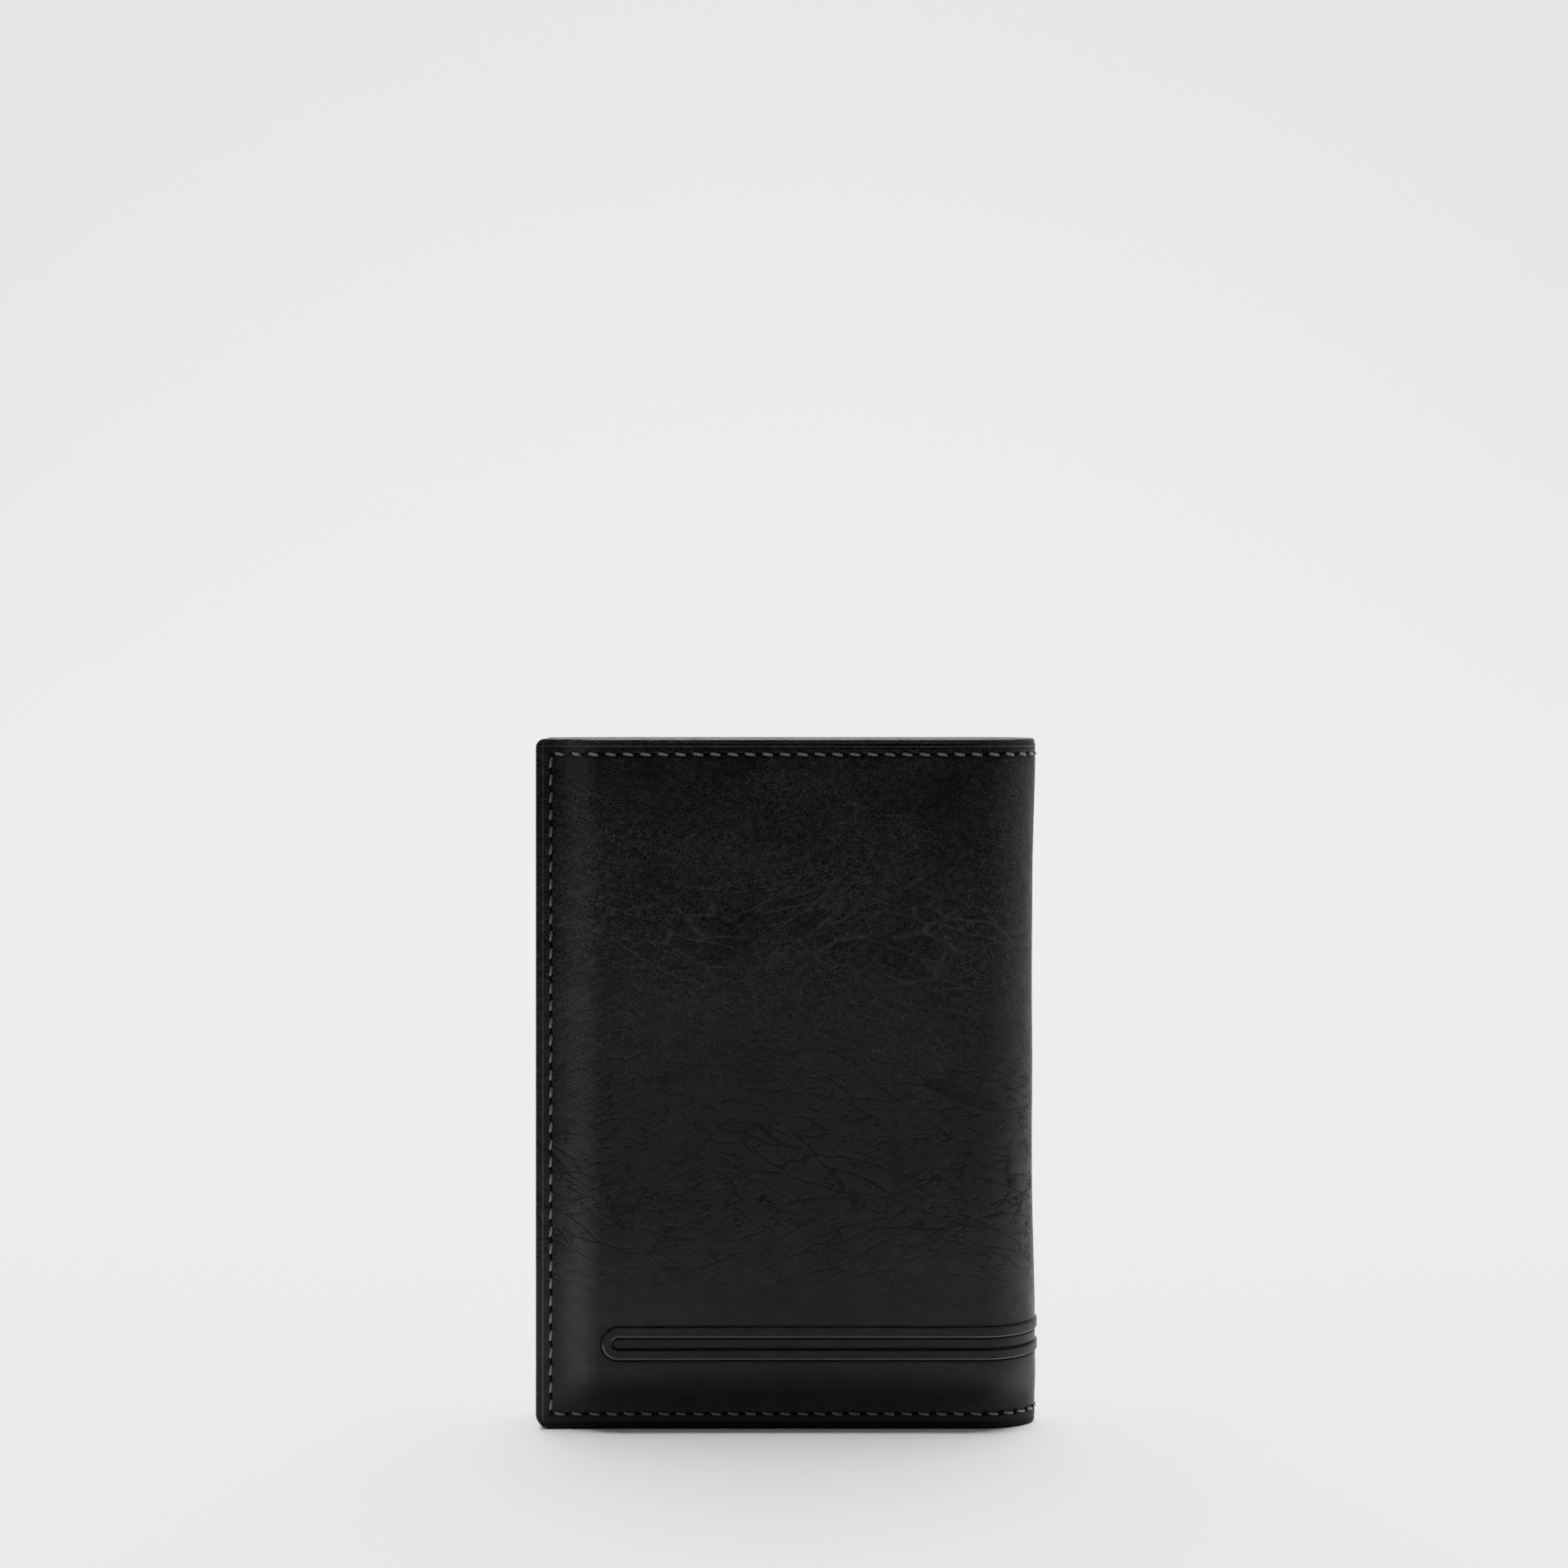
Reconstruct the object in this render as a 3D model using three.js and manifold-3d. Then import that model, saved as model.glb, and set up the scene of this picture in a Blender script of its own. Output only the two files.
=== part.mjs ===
// A vertical bifold wallet, closed and standing on its bottom edge, in millimetres.
// X runs across the wallet with the spine at +X, Y runs through it with the front cover at -Y,
// and Z runs up from the bottom edge. The wallet is two halves, back (+Y) and front (-Y), joined by
// a spine of three strips that lets them open flat, with a loose leaf between them.
import * as THREE from "three";
import { mergeVertices } from "three/addons/utils/BufferGeometryUtils.js";
import Module from "manifold-3d";

const wasm = await Module();
wasm.setup();

// Driving dimensions.
const width = 95;
const height = 130;
const halfThickness = 11;
const reliefHeight = 0.4;
const cornerRadius = { bottom: 2.8, top: 1.8 };
const innerTop = 125;
const weltWidth = 4;
const innerEnd = 40.8;

// Each layer's [inner, outer] distance from the middle plane between the two halves.
const coverDepth = [9.8, 11];
const reliefDepth = [10.6, coverDepth[1] + reliefHeight];
const boardDepth = [9.25, 9.7];
const liningDepth = [8.95, 9.15];
const dividerDepth = [8.65, 8.8];
const weltDepth = [4.2, 5.75];
const innerPanelDepth = [3.6, 4.1];
const leafDepth = 0.6;

// The sewn margin, and how far from the edge the covers have swollen to their full depth.
const seamMargin = 3.5;
const swellEnd = 12.5;
const seamSqueeze = 0.32;

// The spine's fold lines divide its half turn evenly.
const foldStep = 45;
const foldGap = 0.3;
const arcStep = 7.5;

const freeEdge = -width / 2;
const spineRadius = halfThickness;
const spineX = width / 2 - reliefHeight - spineRadius;
const gapAngle = THREE.MathUtils.radToDeg(foldGap / 2 / spineRadius);

// The leaf's outline and the line where it hinges.
const leafLeft = freeEdge + 4.5;
const leafRight = 39.8;
const leafBottom = 5;
const leafTop = 119;
const leafHingeX = 42.6;

// The raised band near the bottom: a U lying on its side, open towards the spine.
const relief = { left: freeEdge + 12.8, bottom: 13.2, top: 19.5, arm: 2.2 };

// Stitch lines, measured in from the edges, and the thread's size.
const stitchInset = 2.9;
const thread = { width: 0.6, depth: [11.05, 11.4] };

// Card slots: each pocket's top edge, from the rearmost to the foremost.
const slotTops = [102, 90, 78, 66];

const blackLeather = new THREE.MeshStandardMaterial({ color: 0x131313, roughness: 0.42 });
const pocketLeather = new THREE.MeshStandardMaterial({ color: 0x161616, roughness: 0.5 });
const liningFabric = new THREE.MeshStandardMaterial({ color: 0x1c1c1e, roughness: 0.85 });
const stiffenerBoard = new THREE.MeshStandardMaterial({ color: 0x6b5f50, roughness: 0.9 });
const sewingThread = new THREE.MeshStandardMaterial({ color: 0x4c4c4c, roughness: 0.6 });
const clearWindow = new THREE.MeshStandardMaterial({ color: 0xdfe3e6, roughness: 0.15 });

// 1 on the sewn margin, falling smoothly to 0 where a cover has its full depth.
function marginShare(distance) {
  return 1 - THREE.MathUtils.smoothstep(distance, seamMargin, swellEnd);
}

// How much of its depth a point of an outer layer keeps: the layers pull in to the seams
// along the free edge and the bottom edge.
function keptDepth(x, z) {
  const open = (1 - marginShare(x - freeEdge)) * (1 - marginShare(z));
  return 1 - seamSqueeze * (1 - open);
}

// The places, counted in from an edge, where the swell needs a vertex.
const swellSteps = 8;
const swellStops = Array.from(
  { length: swellSteps + 1 },
  (_, i) => seamMargin + (i / swellSteps) * (swellEnd - seamMargin),
);

function between(stops, low, high) {
  return [low, ...stops.filter((s) => s > low + 0.01 && s < high - 0.01), high];
}

// The heights of a round corner's vertices, counted from its edge.
function cornerStops(radius) {
  return [30, 60, 90].map((a) => radius * (1 - Math.cos(THREE.MathUtils.degToRad(a))));
}

// The heights that a sheet with both round corners and a swollen middle needs.
function levelsBetween(low, high) {
  const atTop = cornerStops(cornerRadius.top).map((s) => height - s);
  return between([...cornerStops(cornerRadius.bottom), ...swellStops, ...atTop.reverse()], low, high);
}

// How far the free edge draws in at a height, for the round corners.
function cornerInset(z) {
  const radius = z < height / 2 ? cornerRadius.bottom : cornerRadius.top;
  const reach = radius - Math.min(z, height - z, radius);
  return radius - Math.sqrt(radius ** 2 - reach ** 2);
}

// A closed prism of a plan outline through the given heights, pulled in at the seams.
function prism(points, levels) {
  const shape = new THREE.Shape(points);
  const steps = levels.length - 1;
  const made = new THREE.ExtrudeGeometry(shape, { depth: 1, steps, bevelEnabled: false });
  const position = made.attributes.position;
  for (let i = 0; i < position.count; i++) {
    const x = position.getX(i);
    const z = levels[Math.round(position.getZ(i) * steps)];
    const drawnIn = cornerInset(z) * Math.max(0, 1 - (x - freeEdge) / seamMargin);
    position.setXYZ(i, x + drawnIn, position.getY(i) * keptDepth(x, z), z);
  }
  return made;
}

function onSpine(radius, degrees) {
  const a = THREE.MathUtils.degToRad(degrees);
  return new THREE.Vector2(spineX + radius * Math.cos(a), radius * Math.sin(a));
}

// Points round the spine from one angle to another; 90 degrees is the back, 0 the outside.
function arc(radius, from, to) {
  const segments = Math.max(1, Math.round(Math.abs(to - from) / arcStep));
  const points = [];
  for (let i = 0; i <= segments; i++) points.push(onSpine(radius, from + ((to - from) * i) / segments));
  return points;
}

function arcBand([inner, outer], from, to) {
  return [...arc(outer, from, to), ...arc(inner, from, to).reverse()];
}

// The plan outline of a back layer from near the free edge to an angle round the spine, or to
// the start of the spine's curve if no angle is given.
function layerOutline([inner, outer], inset, angle = 90) {
  const stops = swellStops.map((s) => freeEdge + s);
  const xs = between(stops, freeEdge + inset, spineX);
  const bend = (radius) => (angle < 90 ? arc(radius, 90, angle).slice(1) : []);
  const side = (depth) => [...xs.map((x) => new THREE.Vector2(x, depth)), ...bend(depth)];
  return [...side(outer), ...side(inner).reverse()];
}

function toSolid(geometry) {
  const bare = geometry.index ? geometry.toNonIndexed() : geometry.clone();
  bare.deleteAttribute("normal");
  bare.deleteAttribute("uv");
  const merged = mergeVertices(bare, 1e-4);
  return new wasm.Manifold(
    new wasm.Mesh({
      numProp: 3,
      vertProperties: merged.attributes.position.array,
      triVerts: new Uint32Array(merged.index.array),
    }),
  );
}

function toGeometry(solid) {
  const mesh = solid.getMesh();
  const made = new THREE.BufferGeometry();
  made.setAttribute("position", new THREE.BufferAttribute(new Float32Array(mesh.vertProperties), 3));
  made.setIndex(new THREE.BufferAttribute(new Uint32Array(mesh.triVerts), 1));
  made.computeVertexNormals();
  return made;
}

// An upright plate: an outline in X and Z, given thickness along Y.
function plate(shape, [inner, outer]) {
  const made = new THREE.ExtrudeGeometry(shape, {
    depth: outer - inner,
    bevelEnabled: false,
    curveSegments: 4,
  });
  return made.rotateX(Math.PI / 2).translate(0, outer, 0);
}

// A rectangle whose corners at the free edge may be rounded.
function panelShape(left, right, bottom, top, lowRadius = 0, highRadius = 0) {
  const shape = new THREE.Shape();
  shape.moveTo(right, bottom);
  shape.lineTo(right, top);
  shape.lineTo(left + highRadius, top);
  if (highRadius) shape.absarc(left + highRadius, top - highRadius, highRadius, Math.PI / 2, Math.PI);
  shape.lineTo(left, bottom + lowRadius);
  if (lowRadius) {
    shape.absarc(left + lowRadius, bottom + lowRadius, lowRadius, Math.PI, 1.5 * Math.PI);
  }
  return shape;
}

function roundedHole(left, right, bottom, top, radius) {
  const hole = new THREE.Path();
  hole.absarc(right - radius, bottom + radius, radius, -Math.PI / 2, 0);
  hole.absarc(right - radius, top - radius, radius, 0, Math.PI / 2);
  hole.absarc(left + radius, top - radius, radius, Math.PI / 2, Math.PI);
  hole.absarc(left + radius, bottom + radius, radius, Math.PI, 1.5 * Math.PI);
  return hole;
}

// The U of the relief, its outline taken in by some distance all round.
function reliefShape(inset, right) {
  const low = relief.bottom + inset;
  const high = relief.top - inset;
  const arm = relief.arm - 2 * inset;
  const radius = (high - low) / 2;
  const middle = (high + low) / 2;
  const centre = relief.left + inset + radius;
  const shape = new THREE.Shape();
  shape.moveTo(right, high);
  shape.lineTo(centre, high);
  shape.absarc(centre, middle, radius, Math.PI / 2, 1.5 * Math.PI);
  shape.lineTo(right, low);
  shape.lineTo(right, low + arm);
  shape.lineTo(centre, low + arm);
  shape.absarc(centre, middle, radius - arm, 1.5 * Math.PI, Math.PI / 2, true);
  shape.lineTo(right, high - arm);
  return shape;
}

// The relief's two arms where they run round the spine.
function spineRelief(from, to) {
  return [relief.bottom, relief.top - relief.arm].map((z) =>
    toSolid(prism(arcBand(reliefDepth, from, to), [z, z + relief.arm])),
  );
}

function coverGeometry() {
  const edge = 90 - foldStep / 2 + gapAngle;
  const inner = coverDepth[0];
  const levels = levelsBetween(0, height);
  const sheet = toSolid(prism(layerOutline(coverDepth, 0, edge), levels));
  const band = toSolid(prism(layerOutline(reliefDepth, 0, edge), levels));
  const raised = band.intersect(toSolid(plate(reliefShape(0, width), [0, 2 * halfThickness])));
  const groove = toSolid(plate(reliefShape(0.15, spineX - 1), [inner - 0.5, inner + 0.4]));
  return toGeometry(sheet.add(raised).subtract(groove));
}

function outerLayer(depth, inset, top) {
  return prism(layerOutline(depth, inset), levelsBetween(inset, top));
}

// A strip between the layers, along the free edge and the bottom edge.
function weltGeometry() {
  const radius = cornerRadius.bottom;
  const shape = new THREE.Shape();
  shape.moveTo(spineX, 0);
  shape.lineTo(spineX, weltWidth);
  shape.lineTo(freeEdge + weltWidth, weltWidth);
  shape.lineTo(freeEdge + weltWidth, innerTop);
  shape.lineTo(freeEdge, innerTop);
  shape.lineTo(freeEdge, radius);
  shape.absarc(freeEdge + radius, radius, radius, Math.PI, 1.5 * Math.PI);
  return plate(shape, weltDepth);
}

// The seam's thread as one low bead along the top, the free edge and the bottom.
function threadGeometry() {
  const low = stitchInset - thread.width / 2;
  const high = stitchInset + thread.width / 2;
  const left = freeEdge + low;
  const right = width;
  const path = [
    [left, low],
    [right, low],
    [right, high],
    [freeEdge + high, high],
    [freeEdge + high, height - high],
    [right, height - high],
    [right, height - low],
    [left, height - low],
  ];
  const shape = new THREE.Shape(path.map(([x, z]) => new THREE.Vector2(x, z)));
  const edge = 90 - foldStep / 2 + gapAngle;
  const sheet = toSolid(prism(layerOutline(thread.depth, 0, edge), levelsBetween(0, height)));
  return toGeometry(sheet.intersect(toSolid(plate(shape, [0, 2 * halfThickness]))));
}

function spineStrip(depth, number, withRelief) {
  const from = 90 - foldStep / 2 - (number - 1) * foldStep - gapAngle;
  const to = from - foldStep + 2 * gapAngle;
  const strip = toSolid(prism(arcBand(depth, from, to), levelsBetween(0, height)));
  const raised = withRelief ? spineRelief(from, to) : [];
  return toGeometry(raised.reduce((a, b) => a.add(b), strip));
}

function pocketGeometry(top, depth) {
  return plate(panelShape(freeEdge, innerEnd, 0, top, cornerRadius.bottom), depth);
}

// The strip that carries the leaf, from the back inner panel round the pockets' ends.
function leafMountGeometry() {
  const outline = [
    [innerEnd + 0.3, 3.65],
    [leafHingeX, 3.65],
    [leafHingeX, 0],
    [leafHingeX + 0.3, 0],
    [leafHingeX + 0.3, 3.95],
    [innerEnd + 0.3, 3.95],
  ];
  const shape = new THREE.Shape(outline.map(([x, y]) => new THREE.Vector2(x, y)));
  const made = new THREE.ExtrudeGeometry(shape, { depth: leafTop - leafBottom, bevelEnabled: false });
  return made.translate(0, 0, leafBottom);
}

// A leather face of the leaf, with its two window openings.
function leafFrame() {
  const shape = panelShape(leafLeft, leafRight, leafBottom, leafTop, 4, 4);
  shape.holes.push(roundedHole(leafLeft + 9, leafRight - 9, leafBottom + 9, 58, 3));
  shape.holes.push(roundedHole(leafLeft + 9, leafRight - 9, 67, leafTop - 9, 3));
  return shape;
}

function named(name, geometry, material) {
  const mesh = new THREE.Mesh(geometry, material);
  mesh.name = name;
  return mesh;
}

// The layers that both halves have, outside their card pockets.
function outerHalf(side, shared) {
  const half = new THREE.Group();
  half.add(
    named(`${side}_cover_leather`, shared.cover, blackLeather),
    named(`${side}_relief_core`, shared.core, stiffenerBoard),
    named(`${side}_stiffener_board`, shared.board, stiffenerBoard),
    named(`${side}_bill_lining`, shared.lining, liningFabric),
    named(`${side}_bill_divider`, shared.divider, liningFabric),
    named(`${side}_seam_welt`, shared.welt, pocketLeather),
    named(`${side}_seam_thread`, shared.thread, sewingThread),
    named(`${side}_inner_panel`, shared.innerPanel, pocketLeather),
  );
  return half;
}

const shared = {
  cover: coverGeometry(),
  core: plate(reliefShape(0.25, spineX - 1.2), [coverDepth[0] + 0.02, coverDepth[0] + 0.36]),
  board: outerLayer(boardDepth, swellStops[2], height - 5),
  lining: outerLayer(liningDepth, 0, height - 1),
  divider: outerLayer(dividerDepth, 0.5, height - 4),
  welt: weltGeometry(),
  thread: threadGeometry(),
  innerPanel: plate(panelShape(freeEdge, innerEnd, 0, innerTop, cornerRadius.bottom), innerPanelDepth),
};

const backHalf = outerHalf("back", shared);
slotTops.forEach((top, i) => {
  const outer = innerPanelDepth[0] - 0.1 - 0.65 * i;
  const pocket = pocketGeometry(top, [outer - 0.55, outer]);
  backHalf.add(named(`back_card_pocket_${i + 1}`, pocket, pocketLeather));
});
backHalf.add(named("leaf_mount_strip", leafMountGeometry(), pocketLeather));

// The front half is the back half's mirror image, but its foremost pocket is a clear window.
const frontHalf = outerHalf("front", shared);
frontHalf.scale.y = -1;
slotTops.slice(0, 3).forEach((top, i) => {
  const outer = innerPanelDepth[0] - 0.1 - 0.6 * i;
  const pocket = pocketGeometry(top, [outer - 0.5, outer]);
  frontHalf.add(named(`front_card_pocket_${i + 1}`, pocket, pocketLeather));
});
const windowTop = slotTops[3];
const windowFrame = panelShape(freeEdge, innerEnd, 0, windowTop, cornerRadius.bottom);
windowFrame.holes.push(roundedHole(freeEdge + 8.5, innerEnd - 6.5, 9, windowTop - 9, 4));
const windowPane = panelShape(freeEdge + 4.5, innerEnd - 2.5, 5, windowTop - 3);
frontHalf.add(
  named("front_window_frame", plate(windowFrame, [0.95, 1.45]), pocketLeather),
  named("front_window_pane", plate(windowPane, [1.52, 1.68]), clearWindow),
);

const spine = new THREE.Group();
for (const number of [1, 2, 3]) {
  spine.add(
    named(`spine_leather_${number}`, spineStrip(coverDepth, number, true), blackLeather),
    named(`spine_lining_${number}`, spineStrip(liningDepth, number, false), liningFabric),
  );
}

// The leaf: two leather frames round a clear pane, on a thin strip that hinges beside the spine.
const leaf = new THREE.Group();
leaf.add(
  named("leaf_frame_back", plate(leafFrame(), [0.17, leafDepth]), pocketLeather),
  named("leaf_frame_front", plate(leafFrame(), [-leafDepth, -0.17]), pocketLeather),
  named(
    "leaf_window_pane",
    plate(panelShape(leafLeft + 4, leafRight - 4, leafBottom + 4, leafTop - 4), [-0.1, 0.1]),
    clearWindow,
  ),
  named(
    "leaf_hinge_strip",
    plate(panelShape(leafRight - 2.5, leafHingeX - 0.2, leafBottom, leafTop), [-0.1, 0.1]),
    pocketLeather,
  ),
);

const wallet = new THREE.Group();
wallet.add(backHalf, spine, frontHalf, leaf);

export default wallet;
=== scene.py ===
"""A closed bifold wallet in black grained leather, standing on its bottom edge, around its CAD frame.

Places on the wallet's layers are given as (u, z, depth): u runs along the outside from the front
free edge (negative) round the spine (zero at its middle) to the back free edge (positive), z is
the height, and depth is the distance from the plane between the two halves. All are in metres.
"""
import math

import bmesh
import bpy
import numpy as np
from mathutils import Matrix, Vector


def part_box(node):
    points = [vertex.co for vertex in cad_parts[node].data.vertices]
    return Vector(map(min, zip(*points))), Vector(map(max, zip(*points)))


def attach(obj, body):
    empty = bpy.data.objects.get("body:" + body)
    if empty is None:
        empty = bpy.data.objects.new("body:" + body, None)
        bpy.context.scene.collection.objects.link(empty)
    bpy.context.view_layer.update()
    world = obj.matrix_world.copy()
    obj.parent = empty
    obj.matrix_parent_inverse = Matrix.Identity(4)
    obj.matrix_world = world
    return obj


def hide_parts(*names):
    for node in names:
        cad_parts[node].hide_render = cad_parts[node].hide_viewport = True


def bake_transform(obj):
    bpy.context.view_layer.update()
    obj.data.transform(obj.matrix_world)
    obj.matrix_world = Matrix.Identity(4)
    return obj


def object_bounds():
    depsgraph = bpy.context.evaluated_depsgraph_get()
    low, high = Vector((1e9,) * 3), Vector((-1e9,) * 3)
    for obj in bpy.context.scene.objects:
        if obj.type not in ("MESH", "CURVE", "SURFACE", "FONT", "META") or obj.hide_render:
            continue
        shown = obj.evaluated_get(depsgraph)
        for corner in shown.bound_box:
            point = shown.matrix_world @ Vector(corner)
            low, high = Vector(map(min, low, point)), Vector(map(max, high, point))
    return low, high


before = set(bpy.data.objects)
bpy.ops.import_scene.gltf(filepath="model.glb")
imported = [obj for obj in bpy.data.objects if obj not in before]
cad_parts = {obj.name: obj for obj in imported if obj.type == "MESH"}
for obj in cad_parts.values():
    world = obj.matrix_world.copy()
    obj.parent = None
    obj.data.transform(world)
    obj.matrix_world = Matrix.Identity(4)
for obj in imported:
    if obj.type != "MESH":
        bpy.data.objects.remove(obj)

cad_low, cad_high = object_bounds()

MM = 0.001
HEIGHT = cad_high.z
FREE_EDGE = cad_low.x
RELIEF = 0.4 * MM
OUTER = cad_high.y - RELIEF
SPINE_X = cad_high.x - RELIEF - OUTER
QUARTER = OUTER * math.pi / 2
U_END = QUARTER + SPINE_X - FREE_EDGE

# The sewn margin and the swell inside it, as in the CAD covers.
SEAM_MARGIN = 3.5 * MM
SWELL_END = 12.5 * MM
SEAM_SQUEEZE = 0.32
CORNER_BOTTOM = 2.8 * MM
CORNER_TOP = 1.8 * MM

# The covers' turned edges are thicker than their middle, where the board lies behind them.
EDGE_ROUND = 0.9 * MM
BOARD_INSET = 5.6 * MM
THIN_INNER = 9.8 * MM

STITCH_PITCH = 3.25 * MM
STITCH_IN = 2.95 * MM
STITCH_BOTTOM = 2.9 * MM
CREASE_IN = 1.05 * MM

# The raised band: a U on its side, open towards the spine.
BAND_START = 12.8 * MM
BAND_LOW = 13.9 * MM
BAND_HIGH = 19.9 * MM
BAND_ARM = 1.85 * MM
BAND_EDGES = (BAND_LOW, BAND_LOW + BAND_ARM, BAND_HIGH - BAND_ARM, BAND_HIGH)

INNER_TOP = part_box("back_inner_panel")[1].z
INNER_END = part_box("back_inner_panel")[1].x
WELT_WIDTH = 4 * MM
MOUNT_THICK = 0.3 * MM
FILM_BEVEL = 0.05 * MM
PANEL_RADII = (CORNER_BOTTOM, 0.3 * MM, 0.6 * MM, 0.6 * MM)
SMALL_RADII = (0.5 * MM,) * 4

# Texture coordinates are in units of 100 mm.
UV_SCALE = 10.0

# The spine's stretches between rigid bodies: name, the bodies, and the polar angles in degrees.
SPINE_STRETCHES = (
    ("a", "back_half", "spine_1", 90, 45),
    ("b", "spine_1", "spine_2", 45, 0),
    ("c", "spine_2", "spine_3", 0, -45),
    ("d", "spine_3", "front_half", -45, -90),
)


# ---------------------------------------------------------------------------- shape of the layers


def smoothstep(value, low, high):
    t = np.clip((value - low) / (high - low), 0, 1)
    return t * t * (3 - 2 * t)


def bell(distance, width):
    return np.exp(-((distance / width) ** 2))


def kept_depth(x, z):
    """How much of its depth a point keeps where the layers pull in to the sewn edges."""
    side = smoothstep(x - FREE_EDGE, SEAM_MARGIN, SWELL_END)
    foot = smoothstep(z, SEAM_MARGIN, SWELL_END)
    return 1 - SEAM_SQUEEZE * (1 - side * foot)


def corner_inset(z):
    radius = np.where(z < HEIGHT / 2, CORNER_BOTTOM, CORNER_TOP)
    reach = radius - np.minimum(np.minimum(z, HEIGHT - z), radius)
    return radius - np.sqrt(np.maximum(radius**2 - reach**2, 0))


def place(u, z, depth):
    """The position of (u, z, depth), as an array of rows."""
    u, z, depth = np.broadcast_arrays(np.asarray(u, float), z, depth)
    polar = np.clip(u / QUARTER, -1, 1) * math.pi / 2
    x = SPINE_X + depth * np.cos(polar) - np.maximum(np.abs(u) - QUARTER, 0)
    y = depth * np.sin(polar) * kept_depth(x, z)
    drawn = corner_inset(z) * np.clip(1 - (x - FREE_EDGE) / SEAM_MARGIN, 0, 1)
    return np.stack([x + drawn, y, z], axis=-1)


def ripple(u, z):
    """Soft unevenness of the covers, in metres."""
    a = np.sin(u * 71 + 1.3) * np.sin(z * 63 + 0.4)
    b = np.sin(u * 133 - z * 97 + 2.1)
    c = np.sin(z * 208 + u * 61)
    return (0.10 * a + 0.06 * b + 0.03 * c) * MM


def band_distance(edge, z):
    """The distance from the middle line of the raised band."""
    middle = (BAND_LOW + BAND_HIGH) / 2
    radius = (BAND_HIGH - BAND_LOW - BAND_ARM) / 2
    centre = BAND_START + BAND_ARM / 2 + radius
    arms = np.abs(np.abs(z - middle) - radius)
    bend = np.abs(np.hypot(edge - centre, z - middle) - radius)
    return np.where(edge > centre, arms, bend)


def painted_highlight_share(u, z):
    """How much painted highlight the surface gets: most on the band's edges that face down, where they
    would catch light from below, some by the creases.
    """
    edge = U_END - np.abs(u)
    middle = (BAND_LOW + BAND_HIGH) / 2
    radius = (BAND_HIGH - BAND_LOW - BAND_ARM) / 2
    centre = BAND_START + BAND_ARM / 2 + radius
    out = np.where(edge > centre, np.abs(z - middle), np.hypot(edge - centre, z - middle)) - radius
    facing_down = np.clip(-out * (z - middle) / (MM * MM) * 2, 0, 1)
    lips = bell(np.abs(out) - BAND_ARM / 2 + 0.12 * MM, 0.12 * MM) * facing_down
    margins = np.maximum(
        bell(edge - CREASE_IN - 0.4 * MM, 0.12 * MM) * smoothstep(z, 1 * MM, 3 * MM),
        bell(HEIGHT - z - 1.4 * MM, 0.1 * MM),
    )
    return np.maximum(lips, 0.35 * margins)


def surface_relief(u, z):
    """The outer surface's height over the plain leather: band, creases, seam and unevenness."""
    edge = U_END - np.abs(u)
    lift = np.zeros(np.broadcast(u, z).shape)
    distance = band_distance(edge, z)
    lift += RELIEF * (1 - smoothstep(distance, BAND_ARM / 2 - 0.18 * MM, BAND_ARM / 2))
    lift -= 0.2 * MM * bell(distance - BAND_ARM / 2 - 0.12 * MM, 0.16 * MM)
    above, below = HEIGHT - z, z
    inside = smoothstep(edge, 0.4 * MM, 1.2 * MM)
    for gap, deep in ((edge, 0.16), (below, 0.16), (above, 0.18)):
        lift -= deep * MM * bell(gap - CREASE_IN, 0.14 * MM) * inside
        lift += 0.05 * MM * bell(gap - CREASE_IN - 0.4 * MM, 0.18 * MM) * inside
    lift -= 0.12 * MM * bell(above - 1.75 * MM, 0.12 * MM) * inside
    within = smoothstep(edge, STITCH_IN - 0.5 * MM, STITCH_IN)
    tall = smoothstep(z, STITCH_BOTTOM - MM, STITCH_BOTTOM) * smoothstep(above, 1.8 * MM, STITCH_IN)
    seams = np.maximum(
        bell(edge - STITCH_IN, 0.5 * MM) * tall,
        within * np.maximum(bell(z - STITCH_BOTTOM, 0.5 * MM), bell(above - STITCH_IN, 0.5 * MM)),
    )
    lift -= 0.16 * MM * seams
    rolling = smoothstep(edge, 3 * MM, 9 * MM) * smoothstep(z, 4 * MM, 10 * MM)
    lift += ripple(u, z) * rolling * (1 - 0.7 * bell(distance, 3 * MM))
    waist = smoothstep(np.abs(u), QUARTER * 1.3, 0) * smoothstep(z, 20 * MM, 45 * MM)
    lift -= 0.42 * MM * waist * smoothstep(above, 2 * MM, 30 * MM)
    return lift


# ---------------------------------------------------------------------------- mesh helpers


def spaced(low, high, coarse, *fine):
    """Places from low to high, coarse apart, and finer where (centre, reach, step) says."""
    spots = [low]
    while spots[-1] < high - 1e-7:
        at = spots[-1]
        step = coarse
        for centre, reach, small in fine:
            if abs(at - centre) < reach + 0.001 * MM:
                step = min(step, small)
            elif at < centre:
                step = min(step, max(small, centre - reach - at))
        spots.append(at + step)
    spots[-1] = high
    return np.array(spots)


def new_mesh(name, vertices, faces, uvs=None):
    mesh = bpy.data.meshes.new(name)
    mesh.from_pydata([tuple(v) for v in vertices], [], [tuple(f) for f in faces])
    if uvs is not None:
        layer = mesh.uv_layers.new(name="surface")
        index = np.empty(len(mesh.loops), dtype=np.int32)
        mesh.loops.foreach_get("vertex_index", index)
        layer.data.foreach_set("uv", np.asarray(uvs, np.float32)[index].ravel())
    mesh.polygons.foreach_set("use_smooth", [True] * len(mesh.polygons))
    mesh.update()
    return mesh


def new_piece(name, mesh, material):
    piece = bpy.data.objects.new(name, mesh)
    bpy.context.scene.collection.objects.link(piece)
    mesh.materials.append(material)
    return piece


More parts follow.
